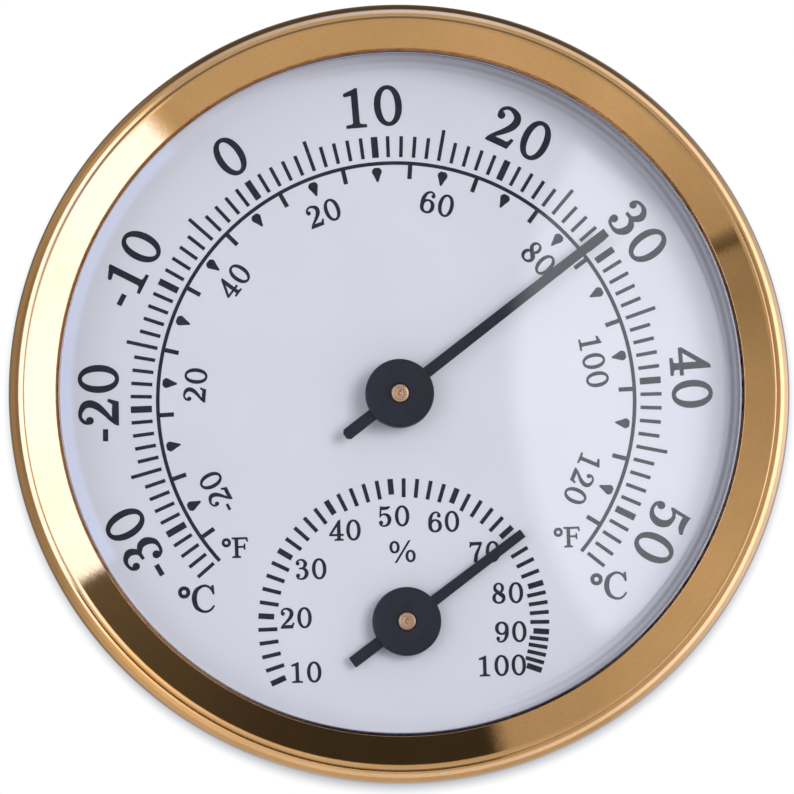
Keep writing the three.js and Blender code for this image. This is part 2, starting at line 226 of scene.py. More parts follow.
class Solid:
    """A closed surface put together from rings of points and flat faces."""

    def __init__(self):
        self.points = []
        self.faces = []

    def add(self, points):
        start = len(self.points)
        self.points += points
        return range(start, start + len(points))

    def skin(self, rings, closed=False):
        """Quads between neighbouring rings, all with the same number of points."""
        rows = [self.add(ring) for ring in rings]
        if closed:
            rows.append(rows[0])
        for a, b in zip(rows, rows[1:]):
            for i in range(len(a)):
                j = (i + 1) % len(a)
                self.faces.append((a[i], a[j], b[j], b[i]))
        return self

    def cap(self, shapes, z):
        """Flat faces at one height."""
        corners, triangles = triangulate(shapes)
        ids = self.add(level(corners, z))
        self.faces += [tuple(ids[i] for i in triangle) for triangle in triangles]
        return self

    def turn(self, outline, segments, centre=(0, 0), closed=True):
        """The surface swept by an outline of (radius, z) points about the z axis."""
        rings = [level(circle(*centre, max(radius, 0), segments), z) for radius, z in outline]
        on_axis = outline[0][0] <= 0 and outline[-1][0] <= 0
        return self.skin(rings, closed and not on_axis)

    def extrude(self, shapes, z0, z1):
        """The shapes' union as a plate with sharp edges."""
        corners, triangles = triangulate(shapes)
        low = self.add(level(corners, z0))
        high = self.add(level(corners, z1))
        edges = {(t[i], t[(i + 1) % 3]) for t in triangles for i in range(3)}
        for triangle in triangles:
            self.faces += [tuple(high[i] for i in triangle), tuple(low[i] for i in reversed(triangle))]
        for a, b in sorted(edges):
            if (b, a) not in edges:
                self.faces.append((low[a], low[b], high[b], high[a]))

    def rim(self, contour, z0, z1, edge, far_side=1):
        """The wall of a plate along a contour with the material on its left, its edges rounded. With
        -1 for its far side, the wall ends in the floor of a sunk area instead."""
        bend = [math.pi / 2 * i / 3 for i in range(4)]
        profile = [(edge * (1 - math.sin(a)), z0 + edge * (1 - math.cos(a))) for a in bend]
        profile += [(far_side * edge * (1 - math.cos(a)), z1 - edge * (1 - math.sin(a))) for a in bend]
        return self.skin([level(offset(contour, inset), z) for inset, z in profile])

    def step(self, contour, z0, z1, edge):
        """The wall round a sunk area, from the face it is sunk in (z0) to its floor (z1). Returns the
        contours where face and floor begin."""
        contour = turning(contour, False)
        self.rim(contour, z0, z1, edge, -1)
        return offset(contour, edge), offset(contour, -edge)

    def slotted_head(self, radius, half, floor, top, edge, below):
        """A round head with a screwdriver slot across it along x, on a body turned from the
        (radius, z) points below the slot's floor."""
        count = 2 * round(2 * math.pi / math.asin(half / radius))
        outline = circle(0, 0, radius, count)
        side = count // 2
        up = math.copysign(edge, top - floor)
        for lobe in (outline[2:side - 1], outline[side + 2:count - 1]):
            profile = [(0, floor), (0, top - up), (edge * 0.3, top - up * 0.3), (edge, top)]
            self.skin([level(offset(lobe, inset), z) for inset, z in profile])
            self.cap([(offset(lobe, edge), [])], top)
        self.cap([(outline[-2:] + outline[:3] + outline[side - 2:side + 3], [])], floor)
        return self.turn([(radius, floor)] + below, count, closed=False)

    def plate(self, outer, holes, z0, z1, edge):
        """A flat plate with holes and rounded edges."""
        outer = turning(outer)
        holes = [turning(hole, False) for hole in holes]
        for contour in [outer] + holes:
            self.rim(contour, z0, z1, edge)
        face = [(offset(outer, edge), [offset(hole, edge) for hole in holes])]
        return self.cap(face, z0).cap(face, z1)

    def place(self, angle, centre):
        """Turns the shape clockwise about its origin and moves it."""
        self.points = [(*about(centre, (x, y), -angle), z) for x, y, z in self.points]
        return self


def add_object(name, data):
    made = bpy.data.objects.new(name, data)
    bpy.context.scene.collection.objects.link(made)
    return made


def build(solid, name, material, node, replaces=True):
    """Stands a solid up as an object that rides with a CAD node and, as a rule, stands for it."""
    mesh = bpy.data.meshes.new(name)
    mesh.from_pydata([(x * MM, -z * MM, y * MM) for x, y, z in solid.points], [], solid.faces)
    work = bmesh.new()
    work.from_mesh(mesh)
    bmesh.ops.remove_doubles(work, verts=work.verts, dist=MERGE)
    bmesh.ops.dissolve_degenerate(work, edges=work.edges, dist=MERGE)
    bmesh.ops.recalc_face_normals(work, faces=work.faces)
    work.to_mesh(mesh)
    work.free()
    mesh.set_sharp_from_angle(angle=CREASE)
    mesh.materials.append(material)
    piece = add_object(name, mesh)
    piece.modifiers.new("weighted", "WEIGHTED_NORMAL").keep_sharp = True
    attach(piece, BODY_OF[node])
    if replaces:
        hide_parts(node)


# ---- materials ----


class Value:
    """What a node gives. Arithmetic with it makes further nodes."""

    def __init__(self, nodes, socket):
        self.nodes = nodes
        self.socket = socket

    def __add__(self, other):
        return self.nodes.math("ADD", self, other)

    def __sub__(self, other):
        return self.nodes.math("SUBTRACT", self, other)

    def __rsub__(self, other):
        return self.nodes.math("SUBTRACT", other, self)

    def __mul__(self, other):
        return self.nodes.math("MULTIPLY", self, other)

    def __truediv__(self, other):
        return self.nodes.math("DIVIDE", self, other)


class Nodes:
    """Short ways of writing a node tree."""

    def __init__(self, tree):
        self.tree = tree

    def node(self, kind, operation=None, output=0, **inputs):
        """A node, with inputs given by name (underscores for spaces) or as i0, i1 by number."""
        made = self.tree.nodes.new("ShaderNode" + kind)
        if operation:
            made.operation = operation
        for key, value in inputs.items():
            self.feed(made.inputs[int(key[1:]) if key[1:].isdigit() else key.replace("_", " ")], value)
        return Value(self, made.outputs[output])

    def feed(self, socket, value):
        if isinstance(value, Value):
            self.tree.links.new(value.socket, socket)
        else:
            socket.default_value = (*value, 1) if socket.type == "RGBA" else value

    def math(self, operation, a, b=0.0):
        return self.node("Math", operation, i0=a, i1=b)

    def split(self, vector):
        """The x, y and z of a vector."""
        return [Value(self, part) for part in self.node("SeparateXYZ", Vector=vector).socket.node.outputs]

    def length(self, x, y):
        return self.math("SQRT", x * x + y * y)

    def ramp(self, value, low, high, start=0.3, end=0.7, smooth=False):
        """Maps a value between start and end onto low to high."""
        made = self.node("MapRange", Value=value, From_Min=start, From_Max=end, To_Min=low, To_Max=high)
        if smooth:
            made.socket.node.interpolation_type = "SMOOTHSTEP"
        return made

    def blend(self, factor, a, b):
        """Mixes two colours."""
        made = self.tree.nodes.new("ShaderNodeMix")
        made.data_type = "RGBA"
        for number, value in ((0, factor), (6, a), (7, b)):
            self.feed(made.inputs[number], value)
        return Value(self, made.outputs[2])

    def mix(self, factor, a, b):
        """Mixes two shaders."""
        return self.node("MixShader", i0=factor, i1=a, i2=b)


class Shader(Nodes):
    """A node material with one Principled shader."""

    def __init__(self, name, **values):
        self.material = bpy.data.materials.new(name)
        self.material.use_nodes = True
        super().__init__(self.material.node_tree)
        self.set(**values)

    def set(self, **values):
        for key, value in values.items():
            self.feed(self.tree.nodes["Principled BSDF"].inputs[key.replace("_", " ")], value)

    def surface(self, shader):
        """Shows another shader in place of the Principled one."""
        self.feed(self.tree.nodes["Material Output"].inputs["Surface"], shader)

    def place(self):
        return self.node("TexCoord", output="Object")

    def noise(self, scale, detail=3.0, vector=None):
        return self.node("TexNoise", Vector=vector or self.place(), Scale=scale, Detail=detail)

    def bump(self, height, distance, strength=1.0):
        self.set(Normal=self.node("Bump", Height=height, Distance=distance, Strength=strength))

    def rings(self, centre, wander):
        """A coordinate that changes only with the distance from an axis, for turned faces."""
        x, y, z = self.split(self.place())
        dx = x - centre[0] * MM
        dz = z - centre[1] * MM
        angle = self.math("ARCTAN2", dz, dx) * (wander * MM)
        return self.node("CombineXYZ", X=self.length(dx, dz), Y=angle, Z=y * 0.2)


def gold_material():
    """Bright plating over a turned face: fine ring grain, a little haze from handling, and painted shade
    in the corner beside the bead, most of it at the top."""
    s = Shader("gold_plate")
    grain = s.noise(16000, 2.0, s.rings((0, 0), 3.5))
    haze = s.noise(140, 4.0)
    tone = s.ramp(haze, 0, 0.5) + s.ramp(grain, 0, 0.5)
    x, y, z = s.split(s.place())
    from_corner = s.math("ABSOLUTE", s.length(x, z) - (GROOVE - 0.09) * MM)
    before_bead = s.math("LESS_THAN", y, -WAIST * MM)
    # Painted shade: a dark line in the corner where the face meets the bead, strongest at the top and
    # fainter at the bottom.
    groove_shade_mask = s.ramp(from_corner, 1, 0, 0.1 * MM, 0.19 * MM) * before_bead
    at_top = s.ramp(z, 0, 0.95, 4 * MM, 28 * MM)
    at_bottom = s.ramp(z, 0, 0.3, -8 * MM, -30 * MM)
    painted_groove_shade = groove_shade_mask * s.math("MAXIMUM", at_top, at_bottom)
    gold = s.blend(tone, (1.0, 0.57, 0.24), (0.8, 0.455, 0.175))
    s.set(Base_Color=s.blend(painted_groove_shade, gold, (0.13, 0.085, 0.03)))
    s.set(Metallic=1 - painted_groove_shade * 0.9)
    s.set(Roughness=s.ramp(haze, 0.01, 0.03) + s.ramp(grain, 0, 0.03) + painted_groove_shade * 0.4)
    s.bump(grain, 0.000003, 0.5)
    return s.material


def lens_material():
    """Clear polished plastic: mirrors more at a slant, and the rest passes straight through.
    Its steep border is painted with shade: light grey on the left and upper side, near black on the right
    and lower side."""
    s = Shader("clear_lens")
    slant = s.math("POWER", s.node("LayerWeight", output="Facing", Blend=0.5), 5)
    mirrored = slant * 0.5 + LENS_MIRROR
    front = 1 - s.node("NewGeometry", output="Backfacing")
    smear = s.ramp(s.noise(60), 0.01, 0.03)
    shine = s.node("BsdfGlossy", Color=(1, 1, 1), Roughness=smear)
    x, y, z = s.split(s.node("TexCoord", output="Normal"))
    facing = s.math("ABSOLUTE", y)
    steep = s.ramp(facing, 1, 0, 0.2, 0.97)
    # Painted shade on the steep border: near black where it faces right and down, light grey where it
    # faces left and up.
    away = s.ramp(x - z, 0, 1, -0.6, 0.7)
    border = s.blend(away, (0.8, 0.8, 0.84), (0.04, 0.05, 0.11))
    tint = s.blend(steep, (0.985, 0.988, 0.995), border)
    # Painted reflections and shade of the rim: fine grey rings under the border, on its right-hand side,
    # away from the reader.
    px, _, pz = s.split(s.place())
    radius = s.length(px, pz)
    far_side = s.ramp(px + pz * 0.25, 0, 1, -2 * MM, 23 * MM)
    spacing = 0.62 * MM
    waves = s.ramp(s.math("SINE", radius * (2 * math.pi / spacing)), 0.15, 0.5, -1, 1)
    rings = waves * s.ramp(radius, 0, 1, 29.6 * MM, 30.6 * MM)
    tint = s.blend(rings * far_side, tint, (0.44, 0.44, 0.47))
    clear = s.node("BsdfTransparent", Color=tint)
    # The moulded side wall is frosted, and the rounding above it catches the light.
    frosted = s.ramp(facing, 0.85, 0, 0.1, 0.5) * (1 - away)
    frost = s.node("BsdfDiffuse", Color=(0.8, 0.8, 0.86))
    rounding = s.ramp(facing, 0.35, 0, 0.6, 0.96) * s.ramp(facing, 0, 1, 0.2, 0.5)
    s.surface(s.mix((mirrored + rounding) * front, s.mix(frosted, clear, frost), shine))
    return s.material


def dial_material():
    """White satin paint with a faint speckle, slightly uneven."""
    s = Shader("dial_paint", Specular_IOR_Level=0.35)
    cloud = s.noise(90)
    speck = s.noise(4200, 2.0)
    shade = s.ramp(cloud, 0.0, 0.7) + s.ramp(speck, 0.0, 0.3)
    s.set(Base_Color=s.blend(shade, (0.73, 0.735, 0.8), (0.78, 0.785, 0.845)))
    s.set(Roughness=s.ramp(speck, 0.42, 0.58))
    s.bump(speck, 0.00001, 0.3)
    return s.material


def ink_material():
    """Screen-printed black, a little uneven in density."""
    s = Shader("black_ink", Specular_IOR_Level=0.3)
    density = s.noise(1500)
    s.set(Base_Color=s.blend(s.ramp(density, 0, 1), (0.008, 0.008, 0.012), (0.022, 0.022, 0.03)))
    s.set(Roughness=s.ramp(density, 0.45, 0.65))
    return s.material


def pointer_material():
    """Satin black enamel with a fine orange peel."""
    s = Shader("pointer_black", Specular_IOR_Level=0.4)
    peel = s.noise(2600)
    s.set(Base_Color=s.blend(s.ramp(peel, 0, 1), (0.006, 0.006, 0.008), (0.012, 0.011, 0.013)))
    s.set(Roughness=s.ramp(s.noise(300), 0.38, 0.55))
    s.bump(peel, 0.000012, 0.5)
    return s.material


def turned_metal(name, color, dark, centre, roughness=0.25):
    """Bright metal with the rings a lathe leaves about an axis."""
    s = Shader(name, Metallic=1.0)
    grain = s.noise(7000, 3.0, s.rings(centre, 0.5))
    stain = s.noise(700, 4.0)
    s.set(Base_Color=s.blend(s.ramp(stain, 0, 1, 0.35, 0.75), color, dark))
    s.set(Roughness=s.ramp(stain, roughness * 0.8, roughness * 1.3) + s.ramp(grain, 0, 0.08))
    s.bump(grain, 0.00001, 0.5)
    return s.material


def brushed_metal(name, color, dark, stretch, roughness=0.3):
    """Rolled or brushed sheet, with the grain along one direction."""
    s = Shader(name, Metallic=1.0)
    grain = s.noise(900, 4.0, s.node("Mapping", Vector=s.place(), Scale=stretch))
    stain = s.noise(260, 4.0)
    s.set(Base_Color=s.blend(s.ramp(stain, 0, 1), color, dark))
    s.set(Roughness=s.ramp(stain, roughness * 0.8, roughness * 1.3) + s.ramp(grain, 0, 0.12))
    s.bump(grain, 0.00001, 0.4)
    return s.material


def moulded_plastic(name, color, light, texture_scale, depth, roughness):
    """Moulded plastic with the spark-eroded texture of its mould."""
    s = Shader(name, Specular_IOR_Level=0.45, Specular_Tint=(1.0, 0.9, 0.68))
    texture = s.noise(texture_scale)
    flow = s.noise(45)
    s.set(Base_Color=s.blend(s.ramp(flow, 0, 1), color, light))
    s.set(Roughness=s.ramp(flow, roughness * 0.9, roughness * 1.1) + s.ramp(texture, 0, 0.1))
    s.bump(texture, depth, 0.6)
    return s.material


def brass_material(name, centre):
    return turned_metal(name, (0.86, 0.52, 0.27), (0.62, 0.34, 0.17), centre)


GOLD = gold_material()
LENS = lens_material()
PAINT = dial_material()
INK = ink_material()
BLACK = pointer_material()
BRASS_T = brass_material("brass_thermometer", TEMPERATURE_AXIS)
BRASS_H = brass_material("brass_hygrometer", HUMIDITY_AXIS)
STEEL = brushed_metal("zinc_steel", (0.6, 0.61, 0.63), (0.42, 0.43, 0.45), (1, 1, 14))
BIMETAL = brushed_metal("bimetal", (0.68, 0.5, 0.34), (0.5, 0.34, 0.22), (1, 12, 1))
STRIP = brushed_metal("humidity_strip", (0.6, 0.6, 0.55), (0.4, 0.41, 0.38), (1, 12, 1), 0.4)
CASE = moulded_plastic("case_plastic", (0.017, 0.017, 0.019), (0.026, 0.026, 0.028), 2200, 0.00002, 0.45)
WHITE = moulded_plastic("white_plastic", (0.68, 0.66, 0.66), (0.75, 0.735, 0.73), 1800, 0.00001, 0.35)
SEAL = moulded_plastic("seal_rubber", (0.2, 0.2, 0.22), (0.28, 0.28, 0.3), 2500, 0.00002, 0.6)

# ---- bezel, lens and rings ----

RING_SEGMENTS = 256


def ring(radius):
    """A fine circle about the gauge's axis."""
    return circle(0, 0, radius, RING_SEGMENTS)


def turned(outline, node, name, material, axis=(0, 0), segments=72, edge=0.08, steps=3):
    """A turned part about an axis, from its (radius, z[, corner radius]) points."""
    solid = Solid().turn(rounded(outline, edge, steps), segments)
    build(solid.place(0, axis), name, material, node)


def bezel():
    """A turned ring: lip, gently falling face, round shoulder, groove, rolled bead, crimped skirt."""
    back, front = heights("bezel")
    skirt = BEZEL_RADIUS - 1
    inner = skirt - 0.6
    roll = 1.72  # radius of the bead's outer roll
    curl = 0.65  # radius of the bead's turn behind it
    crimp = 33.4
    ledge = 33.7
    outline = [
        (WINDOW, front - 1.2, 0.1), (WINDOW, front - 0.58, 0.04), (WINDOW + 0.24, front, 0.03),
        (34.15, front - 0.645, 0.12), (GROOVE - 0.08, front - 0.87, 0.06), (GROOVE, WAIST + 1.66, 0),
        *arc(BEZEL_RADIUS - roll, WAIST, roll, 74, 0, 15),
        *arc(BEZEL_RADIUS - curl, WAIST, curl, -10, -80, 7),
        (skirt, WAIST - 0.75, 0.08), (skirt, back + 0.45, 0.4), (skirt - 0.5, back, 0.4),
        (crimp, back, 0.15), (crimp, back + 0.6, 0.15),
        (inner, back + 0.6), (inner, front - 2.3), (ledge, front - 2.0), (ledge, front - 1.2),
    ]
    turned(outline, "bezel", "gold_bezel", GOLD, segments=RING_SEGMENTS, edge=0.1, steps=4)


def lens():
    """A domed crystal with a rounded border and a flat flange."""
    back, apex = heights("lens")
    flange_radius = radius_of("lens")
    side = WINDOW - 0.01
    flange = apex - 2.25
    thickness = 1.2
    steps = 24

    def dome(drop, edge):
        radii = [edge * i / steps for i in range(steps + 1)]
        return [(radius, apex - drop - LENS_SAG * (radius / LENS_EDGE) ** 2, 0) for radius in radii]

    outline = [
        *dome(0, WINDOW - 0.35),
        (side, apex - 1.2, 0.2), (side, apex - 2.0, 0.05), (side, flange, 0.05),
        (flange_radius, flange, 0.12), (flange_radius, back, 0.12), (31.34, back),
        *reversed(dome(thickness, 31.3)),
    ]
    turned(outline, "lens", "domed_lens", LENS, segments=RING_SEGMENTS, edge=0.1, steps=5)


def plain_ring(node, name, material, edge, inner):
    """A ring of rectangular section with eased edges, as wide and deep as its CAD node."""
    outer = radius_of(node)
    back, front = heights(node)
    outline = [(inner, back), (outer, back), (outer, front), (inner, front)]
    turned(outline, node, name, material, segments=RING_SEGMENTS, edge=edge)


def dial():
    """The painted disc, with a hole for each arbor."""
    holes = [circle(*TEMPERATURE_AXIS, 1.4), circle(*HUMIDITY_AXIS, 1.4)]
    solid = Solid().plate(ring(radius_of("dial_plate")), holes, DIAL_BACK, DIAL_Z, 0.05)
    build(solid, "dial", PAINT, "dial_plate")


# ---- figures and letters ----

# A glyph is a list of shapes in hundredths of its height. It stands on y = 0, with its left at x = 0.

DIGIT_WIDTH = 70


def ellipse(cx, cy, rx, ry, power=2.1, count=48):
    """A slightly squared ellipse."""
    points = []
    for i in range(count):
        c, s = math.cos(2 * math.pi * i / count), math.sin(2 * math.pi * i / count)
        points.append((cx + rx * math.copysign(abs(c) ** (2 / power), c),
                       cy + ry * math.copysign(abs(s) ** (2 / power), s)))
    return points


def loop(cx, cy, rx, ry, side, top):
    """A closed bowl, with its stroke as thick as side at the sides and as top above and below."""
    return (ellipse(cx, cy, rx, ry), [ellipse(cx, cy, rx - side, ry - top)])


def disc(cx, cy, radius):
    return (circle(cx, cy, radius, 24), [])


def area(*points):
    return (list(points), [])


def pen(*stations, steps=6):
    """A stroke through (x, y, width) stations, as a chain of convex pieces."""
    stations = [Vector(s) for s in stations]
    path = []
    last = len(stations) - 1
    for i in range(last):
        p0, p1, p2, p3 = (stations[min(max(i + k, 0), last)] for k in (-1, 0, 1, 2))
        for k in range(steps):
            t = k / steps
            path.append(((2 * p1) + (p2 - p0) * t + (2 * p0 - 5 * p1 + 4 * p2 - p3) * t * t
                         + (3 * p1 - p0 - 3 * p2 + p3) * t ** 3) / 2)
    path.append(stations[-1])
    sides = []
    for i, here in enumerate(path):
        ahead = path[min(i + 1, len(path) - 1)] - path[max(i - 1, 0)]
        normal = Vector((-ahead.y, ahead.x)).normalized() * here.z / 2
        sides.append(((here.x + normal.x, here.y + normal.y), (here.x - normal.x, here.y - normal.y)))
    return [area(a[0], a[1], b[1], b[0]) for a, b in zip(sides, sides[1:])]


def half_turn(shapes):
    """The shapes turned upside down about the middle of a figure."""
    def turn(contour):
        return [(DIGIT_WIDTH - x, 100 - y) for x, y in contour]

    return [(turn(outer), [turn(hole) for hole in holes]) for outer, holes in shapes]


LOWER_BOWL = pen((22, 54.5, 5), (38, 54.5, 7), (54.5, 43, 14.5), (57, 25, 16.5), (46.5, 7.5, 11),
                 (31, 2.5, 6), (16, 5.5, 5.5), (8.5, 16, 6))

SIX = [
    loop(36, 30.5, 32.5, 32, 15, 7.5),
    *pen((60, 86, 5), (52, 94.5, 6), (40, 97.5, 6.5), (24, 89, 10), (13, 66, 15), (11, 42, 15.5),
         (11.5, 28, 15)),
    disc(55.5, 80.5, 8),
]

GLYPHS = {
    "0": [loop(35, 50, 34.5, 51.5, 14.5, 8)],
    "1": [
        area((29, 4), (43.5, 4), (43.5, 100), (37, 100), (29, 90)),
        area((40, 100), (10, 88.5), (8.5, 84), (11.5, 81.5), (30, 84.5), (40, 90)),
        area((11, 0), (61.5, 0), (61.5, 5.5), (47, 7.5), (43.5, 12), (29, 12), (25.5, 7.5), (11, 5.5)),
    ],
    "2": [
        *pen((7.5, 77, 7), (10.5, 88, 6.5), (21, 96.5, 6), (36, 96.5, 9), (52, 87, 14.5),
             (56.5, 72, 16.5), (50, 54, 15), (34, 35, 11), (17, 19, 7.5), (7, 7, 6)),
        disc(13.5, 73, 8.5),
        area((2, 0), (61, 0), (62, 5), (55, 13.5), (43, 15), (24, 15), (12, 12), (3, 6)),
        area((57, 0), (61, 0), (68, 25), (63, 26.5), (57, 16), (50, 13)),
    ],
    "3": [
        *pen((8.5, 83, 6), (15, 93, 5.5), (29, 97.5, 6), (43, 93.5, 10), (52.5, 79, 15), (47, 63, 12),
             (36, 55.5, 6.5), (22, 54, 5)),
        *LOWER_BOWL,
        disc(14, 79.5, 8),
        disc(14.5, 19.5, 8.8),
    ],
    "4": [
        area((40, 4), (55, 4), (55, 100), (52, 102), (40, 84)),
        area((55, 102), (47, 100), (0, 30), (3, 25), (10, 30), (52, 90)),
        area((1, 24), (70, 24), (70, 31.5), (2, 31.5)),
        area((26, 0), (69, 0), (69, 5.5), (58, 7), (55, 11), (40, 11), (37, 7), (26, 5.5)),
    ],
    "5": [
        *pen((13.5, 92.5, 14), (28, 90.5, 14.5), (45, 91.5, 12), (59, 97.5, 6)),
        area((12.5, 99), (17.5, 88), (14.5, 50), (9, 47), (8, 50)),
        *pen((9.5, 49.5, 5), (18, 57.5, 5.5), (32, 61, 7.5), (50, 53, 14), (57, 33, 16.5), (50, 12.5, 12),
             (34, 3, 6.5), (17, 5, 5.5), (8.5, 16, 6)),
        disc(14.5, 19.5, 8.8),
    ],
    "6": SIX,
    "7": [
        *pen((7.5, 75, 5), (10, 88, 6)),
        area((6, 100), (12, 99), (66, 99), (64, 85), (30, 85.5), (13, 82), (8, 86)),
        *pen((62.5, 93, 7), (50, 66, 10), (37, 35, 15), (32.5, 0, 17)),
    ],
    "8": [
        loop(35, 75.5, 25.5, 25.5, 12, 6),
        loop(35, 26.5, 31.5, 28, 14, 7),
        *pen((17, 70, 10), (35, 51, 15), (55, 32, 12)),
    ],
    "9": half_turn(SIX),
    "-": [area((3, 28), (31, 28), (31, 38.5), (3, 38.5))],
    "C": [
        *pen((80, 76, 5.5), (70, 90, 5.5), (54, 98.5, 6), (36, 95.5, 8), (17, 80, 13.5), (9.5, 50, 16.5),
             (17, 20, 13.5), (36, 4.5, 8), (55, 1.5, 6), (71, 8.5, 5), (83, 23, 4)),
        area((76.5, 99), (82, 99), (84.5, 67), (80, 67), (74, 84)),
    ],
    "F": [
        area((15, 4), (30, 4), (30, 96), (15, 96)),
        area((0, 100), (0, 94.5), (15, 91), (70, 92.5), (74, 80), (79, 80), (76, 100)),
        area((28, 50), (58, 50), (60, 40.5), (65, 40.5), (65, 68), (60, 68), (58, 57), (28, 57)),
        area((1, 0), (42, 0), (42, 5.5), (30, 9), (15, 9), (1, 5.5)),
    ],
    "%": [
        loop(23.5, 72, 23.5, 29, 11, 7.5),
        loop(100, 27, 23.5, 29, 11, 7.5),
        area((24, -3), (32, -3), (100, 102), (92, 102)),
    ],
    "o": [loop(21, 76, 21.5, 21.5, 11.5, 11.5)],
}
WIDTHS = {"-": 34, "C": 84, "F": 79, "%": 123.5, "o": 42}
LETTER_SPACE = 15.5


def text_shapes(text, height, x, y, angle):
    """A line of figures centred on (x, y), its baseline turned clockwise by the angle."""
    widths = [WIDTHS.get(char, DIGIT_WIDTH) for char in text]
    spaces = [7 if char in "-o" else LETTER_SPACE for char in text[:-1]] + [0]
    left = -(sum(widths) + sum(spaces)) / 2
    shapes = []
    for char, width, space in zip(text, widths, spaces):
        def put(contour, spread):
            spread_out = offset(turning(contour), -spread)
            scaled = [((px + left) * height / 100, (py - 50) * height / 100) for px, py in spread_out]
            return [about((x, y), p, -angle) for p in scaled]
        shapes.append([(put(outer, INK_SPREAD), [put(hole, -INK_SPREAD) for hole in holes])
                       for outer, holes in GLYPHS[char]])
        left += width + space
    return shapes


# ---- dial print ----

PRINT_THICKNESS = 0.025
PRINT_SHIFT = (-0.22, -0.48)  # the print sits slightly off the arbors, as on a cheap dial
PRINT_STRETCH = 1.0045  # and is a trace larger than drawn
INK_SPREAD = 1.5  # how far each edge of a figure spreads, in hundredths of its height
SCALE_RADIUS = 22


def temperature_angle(celsius):
    """Clockwise angle from 12 o'clock of a temperature: the law that the CAD pointer follows."""
    u = (celsius - 10) / 40
    return math.radians(118.3 * u + 2.7 * u * u - 3)


def humidity_angle(percent):
    """Clockwise angle from 12 o'clock of a humidity: even up to 70 %, then closing up."""
    # Degrees that each ten per cent takes up, from 10 % on.
    decades = [27.5, 27.3, 27.3, 26.9, 27, 26.7, 25.2, 19.7, 15.5]
    whole = min(percent // 10 - 1, len(decades) - 1)
    return math.radians(-112.6 + sum(decades[:whole]) + decades[whole] * (percent / 10 - 1 - whole))


def on_scale(radius, angle, across=0.0):
    """A point at a radius and a clockwise angle, moved sideways by a distance."""
    return rotated((across, radius), -angle)


def mark(angle, inner, outer, width):
    """A straight tick along a radius."""
    half = width / 2
    return area(on_scale(inner, angle, -half), on_scale(inner, angle, half),
                on_scale(outer, angle, half), on_scale(outer, angle, -half))


def printed(groups, name, centre):
    """One object holding shapes printed on the dial. Each group is merged into one flat solid."""
    solid = Solid()
    for shapes in groups:
        solid.extrude(shapes, DIAL_Z - 0.01, DIAL_Z + PRINT_THICKNESS)
    solid.points = [(x * PRINT_STRETCH, y * PRINT_STRETCH, z) for x, y, z in solid.points]
    solid.place(0, (centre[0] + PRINT_SHIFT[0], centre[1] + PRINT_SHIFT[1]))
    build(solid, name, INK, "dial_plate", replaces=False)


# The figures don't sit quite evenly round the printed scale: millimetres off their place.
FIGURE_OFFSETS = {-30: (-0.28, 0.42), -20: (-0.14, 0.05), -10: (-0.18, -0.09), 50: (-0.09, -0.14)}


def celsius_print():
    """A tick for each degree, long at the fives, short and thick at the tens."""
    ticks = []
    for celsius in range(-34, 55):
        width = 0.62 if celsius % 10 == 0 else 0.33
        outer = 25.45 if celsius % 10 == 5 else 24.5
        ticks.append([mark(temperature_angle(celsius), 22.55, outer, width)])
    printed(ticks, "celsius_ticks", TEMPERATURE_AXIS)
    figures = []
    for celsius in range(-30, 51, 10):
        angle = temperature_angle(celsius) + (math.radians(1.3) if celsius == -20 else 0)
        x, y = on_scale(27.3, angle)
        dx, dy = FIGURE_OFFSETS.get(celsius, (0, 0))
        figures += text_shapes(str(celsius), 3.6, x + dx, y + dy, angle)
    for side in (-1, 1):
        figures += text_shapes("oC", 2.45, side * 19, -17.7, 0)
    printed(figures, "celsius_figures", TEMPERATURE_AXIS)


def fahrenheit_print():
    """The scale circle, with a drop-shaped mark at the tens and a tick at the fives."""
    def angle_of(fahrenheit):
        return temperature_angle((fahrenheit - 32) / 1.8)

    start, end = temperature_angle(-34.2), temperature_angle(54.2)
    angles = [start + (end - start) * i / 180 for i in range(181)]
    inner, outer = SCALE_RADIUS - 0.17, SCALE_RADIUS + 0.17
    circle_shapes = [area(on_scale(inner, a), on_scale(outer, a), on_scale(outer, b), on_scale(inner, b))
                     for a, b in zip(angles, angles[1:])]
    # The right half of a drop, as (radius, half its width there).
    drop_half = [(20.3, 0.07), (20.8, 0.27), (21.2, 0.46), (21.4, 0.44), (21.62, 0.24)]
    drop = drop_half + [(radius, -across) for radius, across in reversed(drop_half)]
    drops = []
    for fahrenheit in range(-25, 126, 5):
        angle = angle_of(fahrenheit)
        if fahrenheit % 10:
            circle_shapes.append(mark(angle, 20.55, SCALE_RADIUS, 0.4))
        else:
            drops.append([area(*(on_scale(radius, angle, across) for radius, across in drop))])
    printed([circle_shapes] + drops, "fahrenheit_scale", TEMPERATURE_AXIS)
    # Some of the real dial's figures are wrong for their marks, and are kept so.
    texts = {-20: "-20", 0: "20", 20: "40", 40: "20", 60: "60", 80: "80", 100: "100", 120: "120"}
    figures = []
    for fahrenheit, text in texts.items():
        angle = angle_of(fahrenheit)
        figures += text_shapes(text, 2.0, *on_scale(18.6, angle), angle)
    for side in (-1, 1):
        figures += text_shapes("oF", 1.85, side * 15.3, -13.1, 0)
    printed(figures, "fahrenheit_figures", TEMPERATURE_AXIS)


